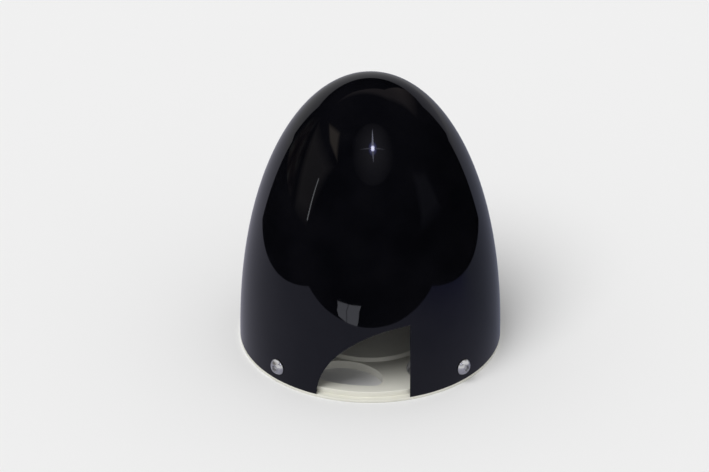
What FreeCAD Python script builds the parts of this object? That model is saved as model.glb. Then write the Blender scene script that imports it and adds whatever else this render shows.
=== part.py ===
"""Propeller spinner: a hollow dome screwed onto a vented backplate by four radial button-head screws.

Millimetres, +Z along the shaft towards the nose. The origin is the centre of the backplate's underside,
and the dome's two blade cut-outs face -Y (front) and +Y (rear). Azimuths are counted from +X about +Z.
"""
import FreeCAD
import Part
import math
import os

from FreeCAD import Vector

# ---- Driving dimensions ----------------------------------------------------------------------

# Outside form, shared by the dome and the backplate's flange.
spinner_diameter = 88.9          # 3 1/2 inch spinner
dome_height = 98.8               # from the dome's rim to its nose
dome_belly_power = 2.035         # superellipse power of the radius: 2 would be a plain ellipse
dome_nose_power = 2.17           # superellipse power of the height: larger fills the shoulder out
dome_wall = 2.0

# Blade cut-outs in the dome, looking along +Y at the front one.
blade_edge_offset = 13.3         # from the shaft's axis to the cut-out's upright edge
blade_cut_width = 31.5           # along the rim, from the upright edge to the foot of the curve
blade_cut_height = 27.6          # from the rim to the top of the upright edge
blade_curve_power = 1.9          # superellipse power of the curved edge
blade_directions = (0.0, 180.0)  # turns about the shaft, from the front cut-out

# Backplate.
flange_thickness = 1.0           # the ledge that the dome's rim stands on
spigot_height = 2.0              # the disc above the ledge that centres the dome
spigot_clearance = 0.1           # radial, between the spigot and the dome's inner wall
shaft_bore_diameter = 10.0
boss_base_diameter = 46.8        # raised seat for the propeller's hub
boss_height = 1.0
boss_bevel = 1.0                 # how far the boss's side leans in over its height

# Vents: a wide mouth near the spigot's edge that narrows to a round tip at the boss.
vent_count = 6
vent_first_azimuth = 15.0
vent_rim_width = 4.25            # metal left between a vent's mouth and the spigot's wall
vent_boss_gap = 0.7              # metal left between a vent's tip and the boss
vent_mouth_depth = 4.5           # from the mouth to the widest place
vent_span = 45.5                 # degrees between a vent's two sides at the widest place
vent_corner_radius = 2.75

# Lugs that stand on the spigot and take the screws.
lug_width = 7.15
lug_height = 6.4
lug_thickness = 4.2              # at the root, from the spigot's wall to the flat inner face
lug_draft = 1.0                  # how far the outer face leans in over the lug's height

# M3 x 8 button-head screws with a hexagon socket.
screw_names = ("screw_front_right", "screw_rear_right", "screw_rear_left", "screw_front_left")
screw_first_azimuth = -45.0      # of the first screw named; the others follow at quarter turns
screw_diameter = 3.0
screw_length = 8.0
screw_tip_chamfer = 0.45
screw_head_diameter = 5.7
screw_head_height = 1.65
screw_head_land = 0.2            # the short straight side under the head's crown
screw_crown_flat = 2.9           # diameter of the flat round the socket
socket_width = 2.0               # across the flats
socket_depth = 1.04
socket_point_angle = 120.0       # of the cone that the socket's drill leaves
dome_hole_clearance = 0.2        # radial, between a screw and the dome
lug_hole_clearance = 0.03        # radial, between a screw's crest and its lug

# How finely the curves worked out from a formula are followed, and how far cutters overrun.
dome_curve_steps = 18
blade_curve_steps = 12
overrun = 2.0

# ---- Places worked out from the dimensions ---------------------------------------------------

spinner_radius = spinner_diameter / 2
plate_top = flange_thickness + spigot_height
boss_top = plate_top + boss_height
dome_rim = flange_thickness
spigot_radius = spinner_radius - dome_wall - spigot_clearance
screw_level = plate_top + lug_height / 2
lug_inner_face = spigot_radius - lug_thickness
screw_azimuths = {name: screw_first_azimuth + 90 * index for index, name in enumerate(screw_names)}

X_AXIS = Vector(1, 0, 0)
Z_AXIS = Vector(0, 0, 1)
ORIGIN = Vector(0, 0, 0)


# ---- Helpers ---------------------------------------------------------------------------------

def turned(shape, azimuth):
    """A copy of a shape, turned about the shaft's axis."""
    copy = shape.copy()
    copy.rotate(ORIGIN, Z_AXIS, azimuth)
    return copy


def disc(radius, bottom, top):
    """A round disc about the shaft's axis between two levels."""
    return Part.makeCylinder(radius, top - bottom, Vector(0, 0, bottom))


def radial_hole(radius, inner, outer):
    """A round cutter at the screws' level, lying along +X between two distances from the shaft."""
    return Part.makeCylinder(radius, outer - inner, Vector(inner, 0, screw_level), X_AXIS)


def curve_through(points, first_tangent, last_tangent):
    """A smooth edge through points, with its direction given at both ends."""
    curve = Part.BSplineCurve()
    curve.interpolate(Points=points, InitialTangent=first_tangent, FinalTangent=last_tangent)
    return curve.toShape()


def quarter_steps(steps):
    """Angles from 0 to 90 degrees, in radians."""
    return [math.pi / 2 * step / steps for step in range(steps + 1)]


# ---- Dome ------------------------------------------------------------------------------------

def dome_curve(inset):
    """The dome's profile from rim to nose in the XZ plane, moved in along its normals by an inset."""
    points = []
    for angle in quarter_steps(dome_curve_steps):
        across = max(math.cos(angle), 0.0) ** (2 / dome_belly_power)
        along = math.sin(angle) ** (2 / dome_nose_power)
        slope_x = dome_belly_power / spinner_radius * across ** (dome_belly_power - 1)
        slope_z = dome_nose_power / dome_height * along ** (dome_nose_power - 1)
        normal = Vector(slope_x, 0, slope_z).normalize()
        outside = Vector(spinner_radius * across, 0, dome_rim + dome_height * along)
        points.append(outside - normal * inset)
    points[0].z = dome_rim
    points[-1].x = 0
    return curve_through(points, Z_AXIS, Vector(-1, 0, 0))


def dome_shell():
    """The dome's even wall, open at the rim."""
    outside = dome_curve(0)
    inside = dome_curve(dome_wall)
    rim = Part.makeLine(inside.firstVertex().Point, outside.firstVertex().Point)
    nose = Part.makeLine(outside.lastVertex().Point, inside.lastVertex().Point)
    section = Part.Face(Part.Wire([rim, outside, nose, inside]))
    return section.revolve(ORIGIN, Z_AXIS, 360)


def blade_cutter():
    """Cuts the front blade opening: a curved edge rises from the rim to the top of an upright edge."""
    foot = blade_edge_offset - blade_cut_width
    top = dome_rim + blade_cut_height
    below = dome_rim - overrun
    points = []
    for angle in quarter_steps(blade_curve_steps):
        across = max(math.cos(angle), 0.0) ** (2 / blade_curve_power)
        along = math.sin(angle) ** (2 / blade_curve_power)
        points.append(Vector(blade_edge_offset - blade_cut_width * across, 0,
                             dome_rim + blade_cut_height * along))
    curved = curve_through(points, Z_AXIS, X_AXIS)
    straight = Part.makePolygon([
        Vector(blade_edge_offset, 0, top),
        Vector(blade_edge_offset, 0, below),
        Vector(foot, 0, below),
        Vector(foot, 0, dome_rim),
    ])
    section = Part.Face(Part.Wire([curved] + straight.Edges))
    return section.extrude(Vector(0, -spinner_radius - overrun, 0))


def spinner_dome():
    """The dome with its two blade cut-outs and four screw holes."""
    hole = radial_hole(screw_diameter / 2 + dome_hole_clearance,
                       lug_inner_face, spinner_radius + overrun)
    cutters = [turned(blade_cutter(), direction) for direction in blade_directions]
    cutters += [turned(hole, azimuth) for azimuth in screw_azimuths.values()]
    return dome_shell().cut(cutters)


# ---- Backplate -------------------------------------------------------------------------------

def vent_cutter():
    """Cuts the vent on +X: half an ellipse towards the shaft, and a mouth with rounded corners."""
    mouth = spigot_radius - vent_rim_width
    widest = mouth - vent_mouth_depth
    tip = boss_base_diameter / 2 + vent_boss_gap
    half_width = widest * math.sin(math.radians(vent_span / 2))
    shoulder = math.sqrt(mouth ** 2 - half_width ** 2)

    left = Vector(widest, half_width, 0)
    right = Vector(widest, -half_width, 0)
    left_corner = Vector(shoulder, half_width, 0)
    right_corner = Vector(shoulder, -half_width, 0)
    mouth_arc = Part.Arc(left_corner, Vector(mouth, 0, 0), right_corner).toShape()
    inner_edge = half_ellipse(Vector(widest, 0, 0), half_width, widest - tip)
    outline = Part.Wire([Part.makeLine(left, left_corner), mouth_arc,
                         Part.makeLine(right_corner, right), inner_edge])

    block = Part.Face(outline).extrude(Vector(0, 0, plate_top + 2 * overrun))
    corners = [edge for edge in block.Edges if stands_at(edge, left_corner, right_corner)]
    block = block.makeFillet(vent_corner_radius, corners)
    block.translate(Vector(0, 0, -overrun))
    return block


def half_ellipse(centre, half_width, depth):
    """Half an ellipse on the shaft's side of its centre, across X, half_width along Y and depth along X."""
    if half_width > depth:
        ellipse = Part.Ellipse(centre + Vector(0, half_width, 0), centre - Vector(depth, 0, 0), centre)
        return ellipse.toShape(0, math.pi)
    ellipse = Part.Ellipse(centre - Vector(depth, 0, 0), centre - Vector(0, half_width, 0), centre)
    return ellipse.toShape(-math.pi / 2, math.pi / 2)


def stands_at(edge, *places):
    """Whether an upright edge stands at one of the places."""
    start, end = (vertex.Point for vertex in (edge.firstVertex(), edge.lastVertex()))
    upright = abs(start.x - end.x) + abs(start.y - end.y) < 1e-6
    return upright and any(math.hypot(start.x - at.x, start.y - at.y) < 1e-6 for at in places)


def lug():
    """The lug on +X: a flat inner face and sides, and an outer face that leans away from the dome."""
    drafted = Part.makeCone(spigot_radius, spigot_radius - lug_draft, lug_height,
                            Vector(0, 0, plate_top))
    block = Part.makeBox(2 * lug_thickness, lug_width, lug_height,
                         Vector(lug_inner_face, -lug_width / 2, plate_top))
    return block.common(drafted)


def backplate():
    """Flange, spigot, boss and lugs in one piece, with the shaft bore, vents and tapped lug holes."""
    boss = Part.makeCone(boss_base_diameter / 2, boss_base_diameter / 2 - boss_bevel, boss_height,
                         Vector(0, 0, plate_top))
    lugs = [turned(lug(), azimuth) for azimuth in screw_azimuths.values()]
    solid = disc(spinner_radius, 0, flange_thickness)
    solid = solid.fuse([disc(spigot_radius, flange_thickness, plate_top), boss] + lugs)
    solid = solid.removeSplitter()

    lug_hole = radial_hole(screw_diameter / 2 + lug_hole_clearance,
                           lug_inner_face - overrun, spigot_radius + overrun)
    vents = [vent_first_azimuth + 360 / vent_count * index for index in range(vent_count)]
    cutters = [disc(shaft_bore_diameter / 2, -overrun, boss_top + overrun)]
    cutters += [turned(vent_cutter(), azimuth) for azimuth in vents]
    cutters += [turned(lug_hole, azimuth) for azimuth in screw_azimuths.values()]
    return solid.cut(cutters)


# ---- Screws ----------------------------------------------------------------------------------

def screw_head():
    """The button head about +X, its seat at X = 0: a short land and a round crown with a flat top."""
    edge = Vector(screw_head_land, 0, screw_head_diameter / 2)
    flat = Vector(screw_head_height, 0, screw_crown_flat / 2)
    centre = (flat.Length ** 2 - edge.Length ** 2) / (2 * (flat.x - edge.x))
    crown = math.hypot(edge.x - centre, edge.z)
    middle = (math.atan2(edge.z, edge.x - centre) + math.atan2(flat.z, flat.x - centre)) / 2
    top_of_arc = Vector(centre + crown * math.cos(middle), 0, crown * math.sin(middle))
    rim = Vector(0, 0, screw_head_diameter / 2)
    top = Vector(screw_head_height, 0, 0)
    outline = Part.Wire([
        Part.makeLine(ORIGIN, rim),
        Part.makeLine(rim, edge),
        Part.Arc(edge, top_of_arc, flat).toShape(),
        Part.makeLine(flat, top),
        Part.makeLine(top, ORIGIN),
    ])
    return Part.Face(outline).revolve(ORIGIN, X_AXIS, 360)


def hexagon_socket():
    """Cuts the driver's socket into the head: a hexagon with a shallow cone at its foot."""
    corner = socket_width / 2 / math.cos(math.pi / 6)
    floor = screw_head_height - socket_depth
    points = []
    for index in range(7):
        angle = math.pi / 3 * index
        points.append(Vector(floor, corner * math.cos(angle), corner * math.sin(angle)))
    hexagon = Part.Face(Part.makePolygon(points)).extrude(Vector(socket_depth + overrun, 0, 0))
    point_depth = socket_width / 2 / math.tan(math.radians(socket_point_angle / 2))
    point = Part.makeCone(0, socket_width / 2, point_depth, Vector(floor - point_depth, 0, 0), X_AXIS)
    return hexagon.fuse(point)


def screw():
    """A screw along X with the seat of its head at X = 0 and its tip on -X."""
    root = screw_tip_chamfer - screw_length
    shank = Part.makeCylinder(screw_diameter / 2, -root, Vector(root, 0, 0), X_AXIS)
    tip = Part.makeCone(screw_diameter / 2 - screw_tip_chamfer, screw_diameter / 2,
                        screw_tip_chamfer, Vector(-screw_length, 0, 0), X_AXIS)
    return screw_head().fuse([shank, tip]).removeSplitter().cut(hexagon_socket())


def seated_screw(azimuth):
    """A screw with its head on the dome's outer wall, pointing at the shaft."""
    seated = screw()
    seated.translate(Vector(spinner_radius, 0, screw_level))
    return turned(seated, azimuth)


# ---- Assembly --------------------------------------------------------------------------------

def build():
    """Writes each piece to its own STEP file, in its place in the assembled spinner."""
    pieces = {"backplate": backplate(), "spinner_dome": spinner_dome()}
    for name, azimuth in screw_azimuths.items():
        pieces[name] = seated_screw(azimuth)
    os.makedirs("parts", exist_ok=True)
    for name, shape in pieces.items():
        shape.exportStep(f"parts/{name}.step")


build()
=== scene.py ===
import math
import bmesh
import bpy
import numpy as np
from mathutils import Matrix, Vector


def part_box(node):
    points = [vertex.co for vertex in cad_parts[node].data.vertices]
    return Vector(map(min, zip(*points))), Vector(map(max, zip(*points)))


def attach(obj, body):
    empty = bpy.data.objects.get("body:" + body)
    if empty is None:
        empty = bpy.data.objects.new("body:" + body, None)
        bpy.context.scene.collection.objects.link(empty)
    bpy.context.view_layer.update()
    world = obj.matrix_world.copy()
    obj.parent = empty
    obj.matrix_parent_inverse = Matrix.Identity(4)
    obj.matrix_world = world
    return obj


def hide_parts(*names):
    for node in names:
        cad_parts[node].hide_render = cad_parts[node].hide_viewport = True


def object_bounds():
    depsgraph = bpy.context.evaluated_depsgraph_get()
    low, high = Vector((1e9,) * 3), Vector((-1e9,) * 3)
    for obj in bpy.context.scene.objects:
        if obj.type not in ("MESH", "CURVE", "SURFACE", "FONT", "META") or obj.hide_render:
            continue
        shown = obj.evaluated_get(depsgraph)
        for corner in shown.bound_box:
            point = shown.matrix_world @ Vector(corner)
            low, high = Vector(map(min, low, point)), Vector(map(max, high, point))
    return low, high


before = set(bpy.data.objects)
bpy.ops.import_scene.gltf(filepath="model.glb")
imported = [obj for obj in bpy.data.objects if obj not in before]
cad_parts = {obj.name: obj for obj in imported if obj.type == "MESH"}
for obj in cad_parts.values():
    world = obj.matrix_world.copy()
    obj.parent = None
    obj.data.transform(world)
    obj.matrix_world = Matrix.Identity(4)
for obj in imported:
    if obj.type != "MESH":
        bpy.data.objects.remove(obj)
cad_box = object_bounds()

MM = 0.001


# ---- Dome --------------------------------------------------------------------------------------
# The dome is one injection-moulded shell in near-black gloss plastic, with an even wall and two
# openings for the propeller's blades. Its rim stands on the backplate's flange, and four screws
# through small holes near the rim hold it there. Outside it is polished, inside it has a mould finish.

dome_low, dome_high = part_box("spinner_dome")
rim_level = dome_low.z
dome_radius = dome_high.x
dome_height = dome_high.z - dome_low.z
dome_belly_power = 2.035
dome_nose_power = 2.17
dome_wall = 2.0 * MM

blade_edge_offset = 13.3 * MM
blade_cut_width = 31.5 * MM
blade_cut_height = 27.6 * MM
blade_curve_power = 1.9
blade_turns = (0.0, math.pi)

screw_turns = [math.radians(angle) for angle in (-135, -45, 45, 135)]
screw_low, screw_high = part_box("screw_front_right")
screw_level = (screw_low.z + screw_high.z) / 2
dome_hole_radius = 1.7 * MM

# The dome's surfaces are laid out as columns round the shaft, counted from the front, and level rows.
columns = 160
skirt_row_height = (screw_level - rim_level) / 4
skirt_rows = 26
nose_rows = 52
opening_columns = (-15, 12)
opening_rows = (0, 26)
hole_columns = 3
hole_rows = (1, 7)
block_steps = (0.0, 0.07, 0.16, 0.28, 0.45, 0.7, 1.0)
profile_samples = 4001
outline_samples = 2001
dome_edge_round = 0.2 * MM


def dome_profile(inset):
    """Levels and radii of the dome's wall from rim to nose, moved in along its normals by an inset."""
    angle = np.linspace(0, math.pi / 2, profile_samples)
    across = np.clip(np.cos(angle), 0, 1) ** (2 / dome_belly_power)
    along = np.sin(angle) ** (2 / dome_nose_power)
    slope_r = dome_belly_power / dome_radius * across ** (dome_belly_power - 1)
    slope_z = dome_nose_power / dome_height * along ** (dome_nose_power - 1)
    length = np.hypot(slope_r, slope_z)
    radius = dome_radius * across - inset * slope_r / length
    level = dome_height * along - inset * slope_z / length
    level[0] = 0
    radius[-1] = 0
    return rim_level + level, radius


def dome_rows(levels, radii):
    """(level, radius) of each row: even steps of height up the skirt, then even steps along the nose."""
    skirt = rim_level + skirt_row_height * np.arange(skirt_rows + 1)
    travelled = np.concatenate([[0], np.cumsum(np.hypot(np.diff(levels), np.diff(radii)))])
    start = np.interp(skirt[-1], levels, travelled)
    steps = np.linspace(start, travelled[-1], nose_rows + 1)[1:]
    rows = [(level, np.interp(level, levels, radii)) for level in skirt]
    rows += [(np.interp(step, travelled, levels), np.interp(step, travelled, radii)) for step in steps]
    return rows


def blade_outline(curve_steps, edge_steps):
    """The opening seen from the front, as (x, level): up the curved edge, then down the upright edge."""
    angle = np.linspace(0, math.pi / 2, outline_samples)
    x = blade_edge_offset - blade_cut_width * np.clip(np.cos(angle), 0, 1) ** (2 / blade_curve_power)
    z = rim_level + blade_cut_height * np.sin(angle) ** (2 / blade_curve_power)
    travelled = np.concatenate([[0], np.cumsum(np.hypot(np.diff(x), np.diff(z)))])
    even = np.linspace(0, travelled[-1], curve_steps + 1)
    curve = list(zip(np.interp(even, travelled, x), np.interp(even, travelled, z)))
    drops = np.linspace(rim_level + blade_cut_height, rim_level, edge_steps + 1)[1:]
    return curve + [(blade_edge_offset, level) for level in drops]


class DomeSurface:
    """One side of the dome's wall, as vertices and faces. Both sides number their vertices alike."""

    def __init__(self, inset):
        self.levels, self.radii = dome_profile(inset)
        self.rows = dome_rows(self.levels, self.radii)
        self.points = []
        self.faces = []
        self.grid = {}

    def add(self, point):
        self.points.append(point)
        return len(self.points) - 1

    def on_grid(self, column, row):
        """The vertex where a column and a row cross."""
        key = (column % columns, row)
        if key not in self.grid:
            level, radius = self.rows[row]
            azimuth = 2 * math.pi * column / columns
            self.grid[key] = self.add((radius * math.sin(azimuth), -radius * math.cos(azimuth), level))
        return self.grid[key]

    def facing(self, turn, x, level):
        """A vertex on the wall, x to the right of the axis as seen from a direction."""
        depth = math.sqrt(np.interp(level, self.levels, self.radii) ** 2 - x * x)
        return self.add((x * math.cos(turn) + depth * math.sin(turn),
                         x * math.sin(turn) - depth * math.cos(turn), level))

    def block(self, turn, inner, outer, closed):
        """Fills between an opening's outline, given as (x, level), and the grid vertices round it."""
        around = [self.seen_from(turn, vertex) for vertex in outer]
        lines = []
        for (x, level), (far_x, far_level), vertex in zip(inner, around, outer):
            line = [self.facing(turn, x + (far_x - x) * step, level + (far_level - level) * step)
                    for step in block_steps[:-1]]
            lines.append(line + [vertex])
        if closed:
            lines.append(lines[0])
        for one, other in zip(lines, lines[1:]):
            for step in range(len(block_steps) - 1):
                self.faces.append((one[step], other[step], other[step + 1], one[step + 1]))

    def seen_from(self, turn, vertex):
        """A vertex as (x, level) seen from a direction."""
        x, y, level = self.points[vertex]
        return x * math.cos(turn) + y * math.sin(turn), level


def opening_border(surface, first_column):
    """Grid vertices round a blade opening: up the left side, along the top and down the right side."""
    left, right = (first_column + column for column in opening_columns)
    low, high = opening_rows
    up = [surface.on_grid(left, row) for row in range(low, high + 1)]
    along = [surface.on_grid(column, high) for column in range(left + 1, right + 1)]
    down = [surface.on_grid(right, row) for row in range(high - 1, low - 1, -1)]
    return up + along + down


def hole_border(surface, middle):
    """Grid vertices in a square round a screw hole, anticlockwise from its lower right corner."""
    low, high = hole_rows
    left, right = middle - hole_columns, middle + hole_columns
    path = [(right, row) for row in range(low, high)]
    path += [(column, high) for column in range(right, left, -1)]
    path += [(left, row) for row in range(high, low, -1)]
    path += [(column, low) for column in range(left, right)]
    return [surface.on_grid(column, row) for column, row in path]


def column_of(turn):
    return round(turn / (2 * math.pi) * columns)


def dome_surface(inset):
    """One side of the wall, with its blade openings and screw holes left open."""
    surface = DomeSurface(inset)
    open_cells = set()
    for turn in blade_turns:
        for column in range(*opening_columns):
            open_cells |= {((column_of(turn) + column) % columns, row) for row in range(*opening_rows)}
    for turn in screw_turns:
        for column in range(-hole_columns, hole_columns):
            open_cells |= {((column_of(turn) + column) % columns, row) for row in range(*hole_rows)}

    last_row = len(surface.rows) - 1
    nose = surface.add((0, 0, surface.rows[-1][0]))
    for column in range(columns):
        for row in range(last_row - 1):
            if (column, row) not in open_cells:
                surface.faces.append((surface.on_grid(column, row), surface.on_grid(column + 1, row),
                                      surface.on_grid(column + 1, row + 1),
                                      surface.on_grid(column, row + 1)))
        surface.faces.append((surface.on_grid(column, last_row - 1),
                              surface.on_grid(column + 1, last_row - 1), nose))

    rise = opening_rows[1] - opening_rows[0]
    outline = blade_outline(rise + opening_columns[1] - opening_columns[0], rise)
    for turn in blade_turns:
        surface.block(turn, outline, opening_border(surface, column_of(turn)), False)
    corners = 2 * (2 * hole_columns + hole_rows[1] - hole_rows[0])
    start = -math.pi / 4
    circle = [(dome_hole_radius * math.cos(start + 2 * math.pi * i / corners),
               screw_level + dome_hole_radius * math.sin(start + 2 * math.pi * i / corners))
              for i in range(corners)]
    for turn in screw_turns:
        surface.block(turn, circle, hole_border(surface, column_of(turn)), True)
    return surface


def border_edges(faces):
    """Edges that only one face uses, in that face's direction."""
    seen = {}
    for face in faces:
        for a, b in zip(face, face[1:] + face[:1]):
            seen.setdefault(frozenset((a, b)), []).append((a, b))
    return [uses[0] for uses in seen.values() if len(uses) == 1]


def make_piece(name, points, faces, materials, face_materials=None):
    """A mesh object with its faces turned outwards and smooth shading."""
    mesh = bpy.data.meshes.new(name)
    mesh.from_pydata([tuple(point) for point in points], [], faces)
    for material in materials:
        mesh.materials.append(material)
    if face_materials:
        mesh.polygons.foreach_set("material_index", face_materials)
    solid = bmesh.new()
    solid.from_mesh(mesh)
    bmesh.ops.recalc_face_normals(solid, faces=solid.faces)
    solid.to_mesh(mesh)
    solid.free()
    mesh.shade_smooth()
    piece = bpy.data.objects.new(name, mesh)
    bpy.context.scene.collection.objects.link(piece)
    return piece


def round_edges(piece, width, segments=3, angle=35):
    """Rounds every edge sharper than an angle, and keeps the faces beside it true."""
    bevel = piece.modifiers.new("rounded_edges", "BEVEL")
    bevel.width = width
    bevel.segments = segments
    bevel.limit_method = "ANGLE"
    bevel.angle_limit = math.radians(angle)
    bevel.harden_normals = True
    bevel.miter_outer = "MITER_ARC"


def new_material(name):
    """A material with its node tree and shader, ready to be dressed."""
    material = bpy.data.materials.new(name)
    material.use_nodes = True
    nodes, links = material.node_tree.nodes, material.node_tree.links
    return material, nodes, links, nodes["Principled BSDF"]


def noise(nodes, links, scale, detail=3.0):
    """Even noise in the object's own space: the scale is in features per metre."""
    place = nodes.new("ShaderNodeTexCoord")
    texture = nodes.new("ShaderNodeTexNoise")
    texture.inputs["Scale"].default_value = scale
    texture.inputs["Detail"].default_value = detail
    links.new(place.outputs["Object"], texture.inputs["Vector"])
    return texture.outputs["Fac"]


def spread(nodes, links, value, low, high, from_low=0.3, from_high=0.7):
    """Maps a value onto a range."""
    mapping = nodes.new("ShaderNodeMapRange")
    mapping.inputs["From Min"].default_value = from_low
    mapping.inputs["From Max"].default_value = from_high
    mapping.inputs["To Min"].default_value = low
    mapping.inputs["To Max"].default_value = high
    links.new(value, mapping.inputs["Value"])
    return mapping.outputs["Result"]


def blend_colours(nodes, links, value, one, other):
    """Runs from one colour to another as a value goes from 0 to 1."""
    ramp = nodes.new("ShaderNodeValToRGB")
    ramp.color_ramp.elements[0].color = (*one, 1)
    ramp.color_ramp.elements[1].color = (*other, 1)
    ramp.color_ramp.elements[0].position = 0.35
    ramp.color_ramp.elements[1].position = 0.65
    links.new(value, ramp.inputs["Fac"])
    return ramp.outputs["Color"]


def add_bump(nodes, links, shader, height, strength, distance):
    """Raises the surface a little by a height pattern."""
    bump = nodes.new("ShaderNodeBump")
    bump.inputs["Strength"].default_value = strength
    bump.inputs["Distance"].default_value = distance
    links.new(height, bump.inputs["Height"])
    links.new(bump.outputs["Normal"], shader.inputs["Normal"])


def dome_gloss():
    """Polished near-black plastic with a trace of blue, a painted blue tint on its reflections, and the
    faint waviness of a moulded skin.
    """
    material, nodes, links, shader = new_material("dome_gloss")
    tone = blend_colours(nodes, links, noise(nodes, links, 60), (0.0016, 0.0017, 0.0026),
                         (0.0030, 0.0030, 0.0042))
    links.new(tone, shader.inputs["Base Color"])
    links.new(spread(nodes, links, noise(nodes, links, 240, 5), 0.02, 0.05), shader.inputs["Roughness"])
    shader.inputs["IOR"].default_value = 1.45
    # Painted reflection colour: the blue specular tint colours every reflection in the gloss, in place of
    # bluish light round the dome.
    shader.inputs["Specular Tint"].default_value = (0.86, 0.88, 1.0, 1.0)
    add_bump(nodes, links, shader, noise(nodes, links, 55, 1), 0.12, 0.2 * MM)
    return material


def dome_inside():
    """The same plastic as the mould leaves it on the hidden side: dull, with a fine grain."""
    material, nodes, links, shader = new_material("dome_inside")
    tone = blend_colours(nodes, links, noise(nodes, links, 180), (0.0060, 0.0060, 0.0075),
                         (0.0100, 0.0100, 0.0115))
    links.new(tone, shader.inputs["Base Color"])
    links.new(spread(nodes, links, noise(nodes, links, 900, 4), 0.38, 0.52), shader.inputs["Roughness"])
    shader.inputs["IOR"].default_value = 1.45
    add_bump(nodes, links, shader, noise(nodes, links, 2600, 3), 0.25, 0.05 * MM)
    return material


def make_dome():
    """The outer and the inner side of the wall, joined along every edge."""
    outside, inside = dome_surface(0), dome_surface(dome_wall)
    count = len(outside.points)
    faces = list(outside.faces)
    faces += [tuple(vertex + count for vertex in reversed(face)) for face in inside.faces]
    edges = [(b, a, a + count, b + count) for a, b in border_edges(outside.faces)]
    which = [0] * len(outside.faces) + [1] * len(inside.faces) + [0] * len(edges)
    return make_piece("dome", outside.points + inside.points, faces + edges,
                      [dome_gloss(), dome_inside()], which)


dome = make_dome()
round_edges(dome, dome_edge_round)
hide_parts("spinner_dome")
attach(dome, "root")


# ---- Backplate ---------------------------------------------------------------------------------
# The backplate is one moulding in ivory satin plastic: a flange that the dome's rim stands on, a disc
# that centres the dome, a raised seat for the propeller's hub, six vents and four lugs for the screws.

plate_low, plate_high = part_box("backplate")
plate_foot = plate_low.z
flange_radius = plate_high.x
flange_level = rim_level
spigot_height = 2.0 * MM
spigot_clearance = 0.1 * MM
plate_level = flange_level + spigot_height
spigot_radius = dome_radius - dome_wall - spigot_clearance
bore_radius = 5.0 * MM
seat_radius = 23.4 * MM
seat_rise = 1.0 * MM
plate_edge_round = 0.25 * MM
plate_foot_round = 0.1 * MM
plate_columns = 240
straight_within = math.radians(0.1)
round_steps = 4

vent_count = 6
vent_first_azimuth = 15
vent_rim_width = 4.25 * MM
vent_mouth_depth = 4.5 * MM
vent_seat_gap = 0.7 * MM
vent_span = math.radians(45.5)
vent_corner = 2.75 * MM
vent_turns = [math.radians(vent_first_azimuth + 360 / vent_count * index) for index in range(vent_count)]
vent_mouth = spigot_radius - vent_rim_width
vent_widest = vent_mouth - vent_mouth_depth
vent_tip = seat_radius + vent_seat_gap
vent_half_width = vent_widest * math.sin(vent_span / 2)
vent_inner_points, vent_mouth_points, vent_corner_points = 45, 29, 9

lug_half_width = 3.575 * MM
lug_top = plate_high.z
lug_thickness = 4.2 * MM
lug_inner_face = spigot_radius - lug_thickness
lug_draft = 1.0 * MM
lug_setback = 0.02 * MM
lug_face_hair = 0.000001 * MM    # the outer face's rounded edge starts this far behind the hole's mouth
lug_sunk = 0.5 * MM
lug_hole_radius = 1.53 * MM
lug_hole_lip = 0.12 * MM
lug_corner = 1.4 * plate_edge_round
lug_side_points = 9


class Moulding:
    """A closed surface made of rows of vertices and of flat fillings."""

    def __init__(self):
        self.points = []
        self.faces = []

    def add_row(self, points):
        """Adds a row of vertices and returns their numbers."""
        start = len(self.points)
        self.points += [tuple(point) for point in points]
        return list(range(start, len(self.points)))

    def join(self, rows):
        """Quads between each row and the next, closed round."""
        for one, other in zip(rows, rows[1:]):
            for i, j in zip(range(len(one)), list(range(1, len(one))) + [0]):
                self.faces.append((one[i], one[j], other[j], other[i]))

    def turn(self, profile):
        """Turns (radius, level) places round the shaft, and returns the first and the last row."""
        azimuths = np.arange(plate_columns) * 2 * math.pi / plate_columns
        rows = [self.add_row([(radius * math.cos(a), radius * math.sin(a), level) for a in azimuths])
                for radius, level in profile]
        self.join(rows)
        return rows[0], rows[-1]

    def fill(self, borders):
        """Fills a flat region inside its outer border and outside the others."""
        flat = bmesh.new()
        edges = []
        for border in borders:
            corners = [flat.verts.new(self.points[vertex]) for vertex in border]
            edges += [flat.edges.new(pair) for pair in zip(corners, corners[1:] + corners[:1])]
        bmesh.ops.triangle_fill(flat, use_beauty=True, use_dissolve=False, edges=edges)
        flat.verts.index_update()
        order = [vertex for border in borders for vertex in border]
        self.faces += [tuple(order[corner.index] for corner in face.verts) for face in flat.faces]
        flat.free()


def rounding(radius, level, size, first, last, hollow=False):
    """(radius, level) places round a corner's centre, between two angles. A hollow one is a fillet."""
    side = -1 if hollow else 1
    angles = [math.radians(first + (last - first) * step / round_steps) for step in range(round_steps + 1)]
    return [(radius + side * size * math.cos(angle), level + side * size * math.sin(angle))
            for angle in angles]


def vent_outline():
    """(along, across, out along, out across) round the vent that points along X, anticlockwise."""
    outline = []
    depth = vent_widest - vent_tip
    for angle in np.linspace(math.pi / 2, -math.pi / 2, vent_inner_points):
        out = Vector((-math.cos(angle) / depth, math.sin(angle) / vent_half_width)).normalized()
        outline.append((vent_widest - depth * math.cos(angle), vent_half_width * math.sin(angle),
                        out.x, out.y))
    across = vent_half_width - vent_corner
    along = math.sqrt((vent_mouth - vent_corner) ** 2 - across ** 2)
    turn = math.atan2(across, along)
    for angle in np.linspace(-math.pi / 2, -turn, vent_corner_points):
        outline.append((along + vent_corner * math.cos(angle), -across + vent_corner * math.sin(angle),
                        math.cos(angle), math.sin(angle)))
    for angle in np.linspace(-turn, turn, vent_mouth_points)[1:-1]:
        outline.append((vent_mouth * math.cos(angle), vent_mouth * math.sin(angle),
                        math.cos(angle), math.sin(angle)))
    for angle in np.linspace(turn, math.pi / 2, vent_corner_points):
        outline.append((along + vent_corner * math.cos(angle), across + vent_corner * math.sin(angle),
                        math.cos(angle), math.sin(angle)))
    return outline


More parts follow.
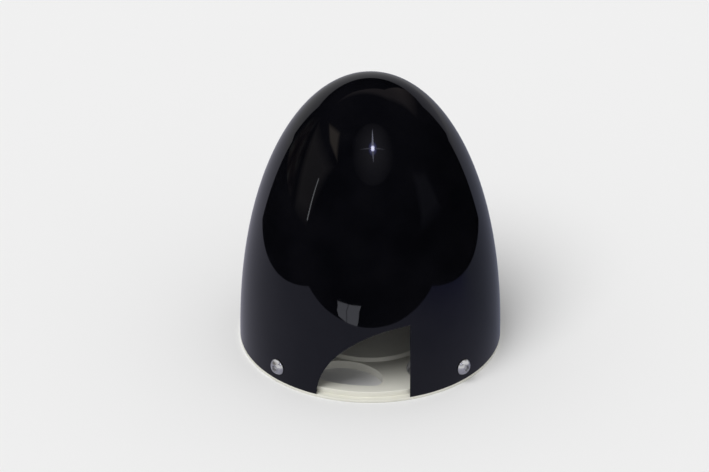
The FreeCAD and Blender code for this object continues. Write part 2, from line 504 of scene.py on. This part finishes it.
def add_vent(plate, turn):
    """A vent's wall with rounded edges. Returns its lower and its upper border."""
    edge = plate_edge_round
    profile = rounding(edge, plate_foot + edge, edge, 270, 180)
    profile += rounding(edge, plate_level - edge, edge, 180, 90)
    c, s = math.cos(turn), math.sin(turn)
    rows = []
    for inward, level in profile:
        points = []
        for along, across, out_along, out_across in vent_outline():
            x, y = along + inward * out_along, across + inward * out_across
            points.append((x * c - y * s, x * s + y * c, level))
        rows.append(plate.add_row(points))
    plate.join(rows)
    return rows[0], rows[-1]


def lug_outline():
    """(across, level, out across, out level) round a lug seen along its screw, anticlockwise."""
    bottom, top = plate_level - lug_sunk, lug_top
    corner = lug_corner
    outline = []
    for level in np.linspace(bottom, top - corner, lug_side_points)[:-1]:
        outline.append((lug_half_width, level, 1, 0))
    for side, first in ((1, 0), (-1, 90)):
        for step in range(round_steps + 1):
            angle = math.radians(first + 90 / round_steps * step)
            outline.append((side * (lug_half_width - corner) + corner * math.cos(angle),
                            top - corner + corner * math.sin(angle), math.cos(angle), math.sin(angle)))
        if side == 1:
            for across in np.linspace(lug_half_width - corner, corner - lug_half_width,
                                      lug_side_points)[1:-1]:
                outline.append((across, top, 0, 1))
    for level in np.linspace(top - corner, bottom, lug_side_points)[1:]:
        outline.append((-lug_half_width, level, -1, 0))
    for across in np.linspace(-lug_half_width, lug_half_width, lug_side_points)[1:-1]:
        outline.append((across, bottom, 0, -1))
    return outline


def add_lug(lugs, turn):
    """A lug with rounded edges and the screw's hole through it."""
    edge = plate_edge_round
    middle = (plate_level + lug_top) / 2
    outline = lug_outline()
    circle = [Vector((across, level - middle)).normalized() for across, level, _, _ in outline]

    def outer_face(across, level):
        """How far the leaning outer face is from the shaft."""
        lean = max(level - plate_level, 0) / (lug_top - plate_level)
        radius = spigot_radius - lug_setback - (lug_draft - lug_setback) * lean
        return math.sqrt(radius ** 2 - across ** 2)

    def hole_ring(radius, depth):
        """A ring on the hole's wall: depth from the inner face, or None at the outer face."""
        ring = []
        for way in circle:
            across, level = radius * way.x, middle + radius * way.y
            at = outer_face(across, level) if depth is None else lug_inner_face + depth
            ring.append((at, across, level))
        return ring

    def body_ring(angle, inner):
        """A ring on the rounded edge of the inner or the outer face, at an angle from its side."""
        inset = edge - edge * math.cos(angle)
        depth = edge - edge * math.sin(angle)
        ring = []
        for across, level, out_across, out_level in outline:
            a, z = across - inset * out_across, level - inset * out_level
            at = lug_inner_face + depth if inner else outer_face(a, z) - (depth + lug_face_hair)
            ring.append((at, a, z))
        return ring

    quarter = [math.pi / 2 * step / round_steps for step in range(round_steps + 1)]
    rings = [hole_ring(lug_hole_radius, None), hole_ring(lug_hole_radius, lug_hole_lip),
             hole_ring(lug_hole_radius + lug_hole_lip, 0)]
    rings += [body_ring(angle, True) for angle in reversed(quarter)]
    rings += [body_ring(angle, False) for angle in quarter]
    c, s = math.cos(turn), math.sin(turn)
    rows = [lugs.add_row([(x * c - y * s, x * s + y * c, z) for x, y, z in ring]) for ring in rings]
    lugs.join(rows + rows[:1])


def plate_plastic():
    """Ivory plastic with a satin skin: a fine even grain, and a faint cloudiness in the colour."""
    material, nodes, links, shader = new_material("plate_plastic")
    tone = blend_colours(nodes, links, noise(nodes, links, 70, 4), (0.745, 0.737, 0.657),
                         (0.785, 0.777, 0.700))
    links.new(tone, shader.inputs["Base Color"])
    links.new(spread(nodes, links, noise(nodes, links, 700, 4), 0.40, 0.54), shader.inputs["Roughness"])
    shader.inputs["IOR"].default_value = 1.46
    shader.inputs["Specular IOR Level"].default_value = 0.4
    add_bump(nodes, links, shader, noise(nodes, links, 3200, 3), 0.2, 0.03 * MM)
    return material


def split_at_straight_corners(mesh):
    """Splits the faces that have a corner along a straight side, so that no triangle comes out flat."""
    skin = bmesh.new()
    skin.from_mesh(mesh)
    faces = [face for face in skin.faces if len(face.verts) > 3
             and any(abs(corner.calc_angle() - math.pi) < straight_within for corner in face.loops)]
    bmesh.ops.triangulate(skin, faces=faces)
    skin.to_mesh(mesh)
    skin.free()


def join_into(piece, addition):
    """Joins a part into a piece as one skin, and keeps the broad faces true beside rounded edges."""
    union = piece.modifiers.new("union", "BOOLEAN")
    union.operation = "UNION"
    union.solver = "EXACT"
    union.object = addition
    joined = bpy.data.meshes.new_from_object(piece.evaluated_get(bpy.context.evaluated_depsgraph_get()))
    piece.modifiers.clear()
    split_at_straight_corners(joined)
    piece.data = joined
    bpy.data.objects.remove(addition)
    joined.shade_smooth()
    joined.set_sharp_from_angle(angle=math.radians(35))
    true_faces = piece.modifiers.new("true_faces", "WEIGHTED_NORMAL")
    true_faces.mode = "FACE_AREA"
    true_faces.weight = 50
    true_faces.keep_sharp = True


def make_backplate():
    """The plate from its turned outer and inner profiles, its vents and its lugs, as one skin."""
    plate = Moulding()
    edge, foot = plate_edge_round, plate_foot_round
    rise = math.tan(math.radians(45) / 2)
    outer = rounding(flange_radius - edge, plate_foot + edge, edge, -90, 0)
    outer += rounding(flange_radius - edge, flange_level - edge, edge, 0, 90)
    outer += rounding(spigot_radius + foot, flange_level + foot, foot, 90, 0, hollow=True)
    outer += rounding(spigot_radius - edge, plate_level - edge, edge, 0, 90)
    under_outer, top_outer = plate.turn(outer)

    seat_level = plate_level + seat_rise
    shoulder = seat_radius - seat_rise
    inner = rounding(seat_radius + rise * foot, plate_level + foot, foot, 90, 45, hollow=True)
    inner += rounding(shoulder - rise * edge, seat_level - edge, edge, 45, 90)
    inner += rounding(bore_radius + edge, seat_level - edge, edge, 90, 180)
    inner += rounding(bore_radius + edge, plate_foot + edge, edge, 180, 270)
    top_inner, under_inner = plate.turn(inner)

    vents = [add_vent(plate, turn) for turn in vent_turns]
    plate.fill([under_outer, under_inner] + [under for under, _ in vents])
    plate.fill([top_outer, top_inner] + [top for _, top in vents])
    lugs = Moulding()
    for turn in screw_turns:
        add_lug(lugs, turn)
    plastic = plate_plastic()
    piece = make_piece("backplate_moulding", plate.points, plate.faces, [plastic])
    join_into(piece, make_piece("lugs", lugs.points, lugs.faces, [plastic]))
    return piece


backplate = make_backplate()
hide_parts("backplate")
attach(backplate, "root")


# ---- Screws ------------------------------------------------------------------------------------
# Four M3 button-head screws in turned steel, with a hexagon socket in the crown and a rolled thread.
# They pass through the dome's holes, draw its wall against the lugs and show their tips inside.

screw_radius = 1.5 * MM
screw_length = 8.0 * MM
thread_pitch = 0.5 * MM
thread_depth = 0.29 * MM
tip_chamfer = 0.45 * MM
head_radius = 2.85 * MM
head_height = 1.65 * MM
head_land = 0.2 * MM
crown_flat = 1.45 * MM
socket_half_width = 1.0 * MM
socket_depth = 1.04 * MM
socket_lip = 0.09 * MM
head_edge_round = 0.07 * MM
thread_flank_gain = 1.28
thread_root_cut = 0.06
thread_end = 0.55 * MM
thread_run_out = 0.3 * MM
neck_depth = 0.12 * MM
screw_columns = 48
shank_steps = 124
crown_steps = 12
lip_steps = 3

# The drill's point under the socket: its rim, its waist and how far each step goes down.
point_rim = 0.985 * socket_half_width
point_waist = 0.49 * socket_half_width
waist_depth = 0.29 * socket_half_width
tip_below_waist = 0.28 * socket_half_width
screw_sharp_angle = math.radians(38)
socket_twists = {"screw_front_right": 8, "screw_rear_right": 31, "screw_rear_left": 47,
                 "screw_front_left": 20}


def thread_radius(along, azimuth):
    """The thread's radius: 60 degree flanks, a narrow crest and a rounded root."""
    phase = (along / thread_pitch + azimuth / (2 * math.pi)) % 1.0
    height = min(max(thread_flank_gain * (1 - abs(2 * phase - 1)) - thread_root_cut, 0), 1)
    radius = screw_radius - thread_depth * (1 - height)
    chamfered = screw_radius - tip_chamfer + (along + screw_length)
    run_out = (along + thread_end) / thread_run_out
    if run_out > 0:
        radius += (screw_radius - neck_depth - radius) * min(run_out, 1)
    return min(radius, chamfered)


def hexagon_radius(azimuth, half_width):
    """How far a hexagon's wall is from its middle."""
    sixth = math.pi / 3
    return half_width / math.cos((azimuth + sixth / 2) % sixth - sixth / 2)


def screw_rings():
    """Rings from the tip to the socket's floor, each a level along the screw and its radii."""
    azimuths = [2 * math.pi * column / screw_columns for column in range(screw_columns)]
    rings = []
    for step in range(shank_steps + 1):
        along = -screw_length + screw_length * step / shank_steps
        rings.append((along, [thread_radius(along, azimuth) for azimuth in azimuths]))

    def round_ring(along, radius):
        rings.append((along, [radius] * screw_columns))

    edge = head_edge_round
    for step in range(lip_steps + 1):
        angle = math.radians(90 / lip_steps * step)
        round_ring(edge - edge * math.cos(angle), head_radius - edge + edge * math.sin(angle))
    rise = head_height - head_land
    centre = head_land + (rise ** 2 + crown_flat ** 2 - head_radius ** 2) / (2 * rise)
    crown = math.hypot(head_height - centre, crown_flat)
    first = math.atan2(head_radius, head_land - centre)
    last = math.atan2(crown_flat, head_height - centre)
    for step in range(crown_steps + 1):
        angle = first + (last - first) * step / crown_steps
        round_ring(centre + crown * math.cos(angle), crown * math.sin(angle))
    for step in range(lip_steps + 1):
        angle = math.radians(90 / lip_steps * step)
        wider = socket_lip * (1 - math.sin(angle))
        rings.append((head_height - socket_lip + socket_lip * math.cos(angle),
                      [hexagon_radius(azimuth, socket_half_width) + wider for azimuth in azimuths]))
    floor = head_height - socket_depth
    rings.append((floor, [hexagon_radius(azimuth, socket_half_width) for azimuth in azimuths]))
    round_ring(floor, point_rim)
    round_ring(floor - waist_depth, point_waist)
    return rings


def screw_steel():
    """Turned steel: fine rings round the screw's own axis, a soft sheen and small cloudy marks."""
    material, nodes, links, shader = new_material("screw_steel")
    place = nodes.new("ShaderNodeTexCoord")
    parts = nodes.new("ShaderNodeSeparateXYZ")
    links.new(place.outputs["Object"], parts.inputs["Vector"])
    radial = nodes.new("ShaderNodeCombineXYZ")
    links.new(parts.outputs["Y"], radial.inputs["X"])
    links.new(parts.outputs["Z"], radial.inputs["Y"])
    reach = nodes.new("ShaderNodeVectorMath")
    reach.operation = "LENGTH"
    links.new(radial.outputs["Vector"], reach.inputs[0])
    rings = nodes.new("ShaderNodeCombineXYZ")
    links.new(reach.outputs["Value"], rings.inputs["X"])
    links.new(parts.outputs["X"], rings.inputs["Y"])
    turned = nodes.new("ShaderNodeTexNoise")
    turned.inputs["Scale"].default_value = 9000
    turned.inputs["Detail"].default_value = 4
    links.new(rings.outputs["Vector"], turned.inputs["Vector"])
    tone = blend_colours(nodes, links, noise(nodes, links, 900, 3), (0.60, 0.60, 0.61),
                         (0.72, 0.72, 0.73))
    links.new(tone, shader.inputs["Base Color"])
    links.new(spread(nodes, links, turned.outputs["Fac"], 0.22, 0.38), shader.inputs["Roughness"])
    shader.inputs["Metallic"].default_value = 1.0
    add_bump(nodes, links, shader, turned.outputs["Fac"], 0.25, 0.01 * MM)
    return material


def make_screw_mesh():
    """Points and faces of a screw along X, from the middle of its tip to the foot of its socket."""
    rings = screw_rings()
    points = [(-screw_length, 0, 0)]
    for along, radii in rings:
        for column, radius in enumerate(radii):
            azimuth = 2 * math.pi * column / screw_columns
            points.append((along, radius * math.cos(azimuth), radius * math.sin(azimuth)))
    points.append((rings[-1][0] - tip_below_waist, 0, 0))
    faces = []
    for ring in range(len(rings) - 1):
        for column in range(screw_columns):
            after = (column + 1) % screw_columns
            here, there = 1 + ring * screw_columns, 1 + (ring + 1) * screw_columns
            faces.append((here + column, here + after, there + after, there + column))
    last = 1 + (len(rings) - 1) * screw_columns
    for column in range(screw_columns):
        after = (column + 1) % screw_columns
        faces.append((0, 1 + after, 1 + column))
        faces.append((last + column, last + after, len(points) - 1))
    return points, faces


steel = screw_steel()
screw_points, screw_faces = make_screw_mesh()
screws = []
for name, twist in socket_twists.items():
    low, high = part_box(name)
    middle = (low + high) / 2
    outwards = Vector((middle.x, middle.y, 0)).normalized()
    screw = make_piece(name + "_steel", screw_points, screw_faces, [steel])
    screw.data.set_sharp_from_angle(angle=screw_sharp_angle)
    turn = Matrix.Rotation(math.atan2(outwards.y, outwards.x), 4, "Z")
    screw.matrix_world = (Matrix.Translation(outwards * dome_radius + Vector((0, 0, screw_level)))
                          @ turn @ Matrix.Rotation(math.radians(twist), 4, "X"))
    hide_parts(name)
    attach(screw, "root")
    screws.append(screw)


# ---- Setting -------------------------------------------------------------------------------------
# A plain pale floor and soft studio light, and a camera that looks down on the front cut-out. Black
# cloth hung all round keeps the gloss dark, and a pale sheet below and behind draws its lighter edges.

floor_tone = (0.85, 0.85, 0.85)
ambient = 0.58
key_strength = 1.63
key_softness = math.radians(35)
key_direction = Vector((0.35, 0.45, -1))
pale = 0.86
sheet_left = (0.335, 0.332, 0.395)
sheet_right = (0.115, 0.120, 0.240)
sheet_beside = (0.193, 0.203, 0.262)
sheet_far_left = (0.345, 0.345, 0.352)
sheet_far_right = (0.215, 0.215, 0.240)
tent_radius = 2.9
aim_height = 60 * MM

# What lies under the object is stacked a hair apart.
floor_half_width = 4.0
floor_level = -0.020 * MM
tent_level = -0.015 * MM
sheet_level = -0.010 * MM
pane_level = -0.008 * MM


def pale_floor():
    """A matt pale surface with no shine."""
    material, _, _, shader = new_material("pale_floor")
    shader.inputs["Base Color"].default_value = (*floor_tone, 1)
    shader.inputs["Roughness"].default_value = 0.9
    shader.inputs["Specular IOR Level"].default_value = 0.0
    return material


def make_floor():
    """A wide level floor under the object."""
    half = floor_half_width
    floor = make_piece("floor", [(-half, -half, 0), (half, -half, 0), (half, half, 0), (-half, half, 0)],
                       [(0, 1, 2, 3)], [pale_floor()])
    floor.location.z = floor_level


def hang(name, points, faces, strength, colour=(1, 1, 1)):
    """A studio card that only shows in polished surfaces."""
    material = bpy.data.materials.new(name)
    material.use_nodes = True
    nodes, links = material.node_tree.nodes, material.node_tree.links
    nodes.clear()
    glow = nodes.new("ShaderNodeEmission")
    glow.inputs["Color"].default_value = (*colour, 1)
    glow.inputs["Strength"].default_value = strength
    output = nodes.new("ShaderNodeOutputMaterial")
    links.new(glow.outputs["Emission"], output.inputs["Surface"])
    card = make_piece(name, points, faces, [material])
    card.visible_camera = False
    card.visible_diffuse = False
    card.visible_transmission = False
    card.visible_volume_scatter = False
    card.visible_shadow = False
    return card


def card_nodes(card):
    """A card's nodes and links, its place as a vector, and the socket of its colour."""
    nodes, links = card.data.materials[0].node_tree.nodes, card.data.materials[0].node_tree.links
    place = nodes.new("ShaderNodeTexCoord").outputs["Object"]
    return nodes, links, place, nodes["Emission"].inputs["Color"]


def run_of_colours(nodes, links, value, stops):
    """Colours at places from 0 to 1 along a value."""
    ramp = nodes.new("ShaderNodeValToRGB")
    ramp.color_ramp.elements.remove(ramp.color_ramp.elements[0])
    for at, colour in stops[:-1]:
        ramp.color_ramp.elements.new(at).color = (*colour, 1)
    ramp.color_ramp.elements[-1].position, last = stops[-1]
    ramp.color_ramp.elements[-1].color = (*last, 1)
    links.new(value, ramp.inputs["Fac"])
    return ramp.outputs["Color"]


def towards(azimuth, height, distance):
    """A place seen from the dome: azimuth from the front to the right, height above level, degrees."""
    a, e = math.radians(azimuth), math.radians(height)
    flat = distance * math.cos(e)
    return Vector((flat * math.sin(a), -flat * math.cos(a), distance * math.sin(e) + aim_height))


def make_tent():
    """Cloth all round that is black in the dome's gloss, and the pale room for the other pieces."""
    points, faces = [], []
    around, up = 48, 12
    for ring in range(up):
        e = math.pi / 2 * ring / up
        for step in range(around):
            a = 2 * math.pi * step / around
            points.append((tent_radius * math.cos(e) * math.cos(a),
                           tent_radius * math.cos(e) * math.sin(a), tent_radius * math.sin(e)))
    points.append((0, 0, tent_radius))
    for ring in range(up - 1):
        for step in range(around):
            after = (step + 1) % around
            faces.append((ring * around + step, ring * around + after,
                          (ring + 1) * around + after, (ring + 1) * around + step))
    last = (up - 1) * around
    faces += [(last + step, last + (step + 1) % around, len(points) - 1) for step in range(around)]
    faces.append(tuple(range(around)))
    tent = hang("tent", points, faces, pale)
    tent.location.z = tent_level
    satin = bpy.data.collections.new("satin_pieces")
    for piece in (backplate, *screws):
        satin.objects.link(piece)
    tent.light_linking.receiver_collection = satin


def make_sheet():
    """The pale sheet: it lies under the object, widens behind it and rises there. Its right is dimmer."""
    front, side, waist, depth = -0.126, 0.157, 0.088, 2.0
    widening, rise = math.radians(50), math.radians(20.5)
    half = side + (depth - waist) * math.tan(widening)
    height = aim_height + depth * math.tan(rise)
    points = [(-side, front, 0), (side, front, 0), (side, waist, 0), (half, depth, 0),
              (-half, depth, 0), (-side, waist, 0), (-half, depth, height), (half, depth, height)]
    sheet = hang("sheet", points, [(0, 1, 2, 3, 4, 5), (4, 3, 7, 6)], 1.0)
    sheet.location.z = sheet_level
    nodes, links, place, colour = card_nodes(sheet)
    parts = nodes.new("ShaderNodeSeparateXYZ")
    links.new(place, parts.inputs["Vector"])
    across, away = parts.outputs["X"], parts.outputs["Y"]

    def strip(left, right, start, end):
        """A colour that runs from left to right between two places across the sheet."""
        return run_of_colours(nodes, links, spread(nodes, links, across, 0, 1, start, end),
                              [(0, left), (1, right)])

    tone = strip(sheet_left, sheet_right, 0.03, 0.15)
    for next_tone, near, far in ((strip(sheet_left, sheet_beside, 0.0, 0.045), -0.035, 0.0),
                                 (strip(sheet_far_left, sheet_far_right, 0.0, 1.0), 0.10, 0.60)):
        fade = nodes.new("ShaderNodeMix")
        fade.data_type = "RGBA"
        links.new(spread(nodes, links, away, 0, 1, near, far), fade.inputs["Factor"])
        links.new(tone, fade.inputs["A"])
        links.new(next_tone, fade.inputs["B"])
        tone = fade.outputs["Result"]
    links.new(tone, colour)


def make_lamp():
    """A small lamp in a soft glow, with thin rays above, below and to its sides."""
    lamp_azimuth, lamp_rise, lamp_distance = 3.9, 47.5, 2.4
    middle = towards(lamp_azimuth, lamp_rise, lamp_distance)
    out = middle.normalized()
    across = Vector((0, 0, 1)).cross(out).normalized()
    upright = out.cross(across)
    white = (0.9, 0.9, 1)
    black = (0, 0, 0)
    glow = [(0, (1, 0.95, 0.95)), (0.4, (0.6, 0.57, 0.58)), (1, black)]
    halo = [(0, white), (0.4, (0.42, 0.42, 0.8)), (1, black)]
    core = [(0, (1, 1, 1)), (0.5, white), (1, (0.3, 0.3, 0.5))]
    corners = 32
    for name, nearer, width, height, strength, stops in (("lamp_glow", 0, 1.2, 1.0, 0.34, glow),
                                                         ("lamp_halo", 0.1, 0.24, 0.22, 4, halo),
                                                         ("lamp_core", 0.2, 0.1, 0.085, 27, core)):
        points = [across * width * math.cos(2 * math.pi * step / corners)
                  + upright * height * math.sin(2 * math.pi * step / corners) for step in range(corners)]
        card = hang(name, points, [tuple(range(corners))], strength)
        card.location = middle - out * nearer
        nodes, links, place, colour = card_nodes(card)
        reach = nodes.new("ShaderNodeVectorMath")
        reach.operation = "LENGTH"
        links.new(place, reach.inputs[0])
        fading = spread(nodes, links, reach.outputs["Value"], 0, 1, 0, width)
        links.new(run_of_colours(nodes, links, fading, stops), colour)
    rays_nearer, rays_start = 0.3, 0.075
    for name, angle, length, half, strength in (("ray_up", 88, 0.64, 0.050, 4.5),
                                                ("ray_down", 272, 0.36, 0.055, 2.4),
                                                ("ray_left", 178, 0.62, 0.020, 1.5),
                                                ("ray_right", -2, 0.62, 0.020, 1.5)):
        a = math.radians(angle)
        along = across * math.cos(a) + upright * math.sin(a)
        aside = upright * math.cos(a) - across * math.sin(a)
        foot = middle - out * rays_nearer + along * rays_start
        tip = middle - out * rays_nearer + along * length
        hang(name, [foot + aside * half, tip, foot - aside * half], [(0, 1, 2)], strength, white)


def soft_card(name, corners, middle_share, strength, colour):
    """A card that is evenly lit over a share of its reach and fades out to its border."""
    count = len(corners)
    middle = sum(corners, Vector()) / count
    points = [middle + (corner - middle) * middle_share for corner in corners] + corners
    faces = [tuple(range(count))]
    faces += [(i, (i + 1) % count, count + (i + 1) % count, count + i) for i in range(count)]
    card = hang(name, points, faces, strength, colour)
    light = card.data.attributes.new("light", "FLOAT", "POINT")
    light.data.foreach_set("value", [1.0] * count + [0.0] * count)
    nodes, links, _, _ = card_nodes(card)
    lit = nodes.new("ShaderNodeAttribute")
    lit.attribute_name = "light"
    links.new(spread(nodes, links, lit.outputs["Fac"], 0, strength, 0, 1),
              nodes["Emission"].inputs["Strength"])
    return card


def make_room():
    """Dim things round the studio: a strip light, a wall, a door, a shelf, a cupboard and a curtain."""
    strip = [(-67.2, 0.5), (-66.2, 0.5), (-65.9, 16.5), (-66.9, 16.5)]
    wall = [(-66, -2), (-85, -3), (-114, 26), (-50, 28)]
    door = [(-100, 37), (-68, 47), (-48, 30), (-74, 34)]
    shelf = [(-122, 38), (-148, 51), (154, 47), (150, 12), (110, 30), (128, 62)]
    cupboard = [(55, 24), (74, 17), (80, 0), (50, 0)]
    curtain = [(-92, -17), (-128, -17), (-128, 14), (-118, 26), (-92, 4)]
    cloth = [(0, (0.1, 0.06, 0.05)), (0.5, (0.4, 0.3, 0.25)), (1, (0.9, 1, 0.85))]
    for name, corners, distance, middle_share, strength, colour in (
            ("strip_light", strip, 2.2, 0.97, 3.0, (1, 1, 0.95)),
            ("wall", wall, 2.6, 0.55, 0.17, (1, 0.9, 0.8)),
            ("door", door, 2.5, 0.55, 0.56, (1, 0.84, 0.62)),
            ("shelf", shelf, 2.7, 0.55, 0.19, (1, 0.85, 0.78)),
            ("cupboard", cupboard, 2.6, 0.55, 0.08, (0.9, 0.9, 1)),
            ("curtain", curtain, 2.4, 0.55, 0.15, (1, 1, 1))):
        points = [towards(azimuth, height, distance) for azimuth, height in corners]
        card = soft_card(name, points, middle_share, strength, colour)
        if name == "curtain":
            nodes, links, _, card_colour = card_nodes(card)
            folds = spread(nodes, links, noise(nodes, links, 2.5, 4), 0, 1, 0.35, 0.65)
            links.new(run_of_colours(nodes, links, folds, cloth), card_colour)


def make_window():
    """Two grey panes in front of the sheet, with a slim bar between them."""
    left = [(-84, -172), (-57, -178), (-42, -126), (-58, -131)]
    bar = [(-57, -178), (-54, -178), (-40, -126), (-42, -126)]
    right = [(-54, -178), (-24, -184), (-22, -126), (-40, -126)]
    for name, corners, strength in (("pane_left", left, 1.45), ("window_bar", bar, 0.75),
                                    ("pane_right", right, 1.45)):
        pane = hang(name, [(x * MM, y * MM, 0) for x, y in corners], [(0, 1, 2, 3)], strength)
        pane.location.z = pane_level


make_floor()
make_tent()
make_sheet()
make_lamp()
make_room()
make_window()

elevation = math.radians(31.75)
view_width = 0.240
lens = 400.0
sensor = 36.0
low, high = cad_box
centre = (low + high) / 2
right_of_aim = 5.4 * MM
below_aim = 9.5 * MM
camera_data = bpy.data.cameras.new("camera")
camera = bpy.data.objects.new("camera", camera_data)
bpy.context.scene.collection.objects.link(camera)
bpy.context.scene.camera = camera
camera_data.lens = lens
camera_data.sensor_width = sensor
back = Vector((0, -math.cos(elevation), math.sin(elevation)))
up = Vector((0, math.sin(elevation), math.cos(elevation)))
distance = lens / sensor * view_width
camera.location = centre + back * distance - Vector((right_of_aim, 0, 0)) - up * below_aim
camera.rotation_mode = "QUATERNION"
camera.rotation_quaternion = (-back).to_track_quat("-Z", "Y")
camera_data.clip_end = 50

sun_data = bpy.data.lights.new("key", "SUN")
sun_data.energy = key_strength
sun_data.angle = key_softness
sun = bpy.data.objects.new("key", sun_data)
bpy.context.scene.collection.objects.link(sun)
sun.rotation_mode = "QUATERNION"
sun.rotation_quaternion = key_direction.to_track_quat("-Z", "Y")
sun.visible_glossy = False

world = bpy.data.worlds.new("studio")
bpy.context.scene.world = world
world.use_nodes = True
nodes, links = world.node_tree.nodes, world.node_tree.links
surface = nodes["Background"]
path = nodes.new("ShaderNodeLightPath")
seen = path.outputs["Is Camera Ray"]
for kind in ("Is Glossy Ray", "Is Transmission Ray"):
    either = nodes.new("ShaderNodeMath")
    either.operation = "MAXIMUM"
    links.new(seen, either.inputs[0])
    links.new(path.outputs[kind], either.inputs[1])
    seen = either.outputs["Value"]
level = nodes.new("ShaderNodeMapRange")
level.inputs["To Min"].default_value = ambient
level.inputs["To Max"].default_value = pale
links.new(seen, level.inputs["Value"])
links.new(level.outputs["Result"], surface.inputs["Strength"])
surface.inputs["Color"].default_value = (1, 1, 1, 1)

bpy.context.scene.view_settings.view_transform = "Standard"
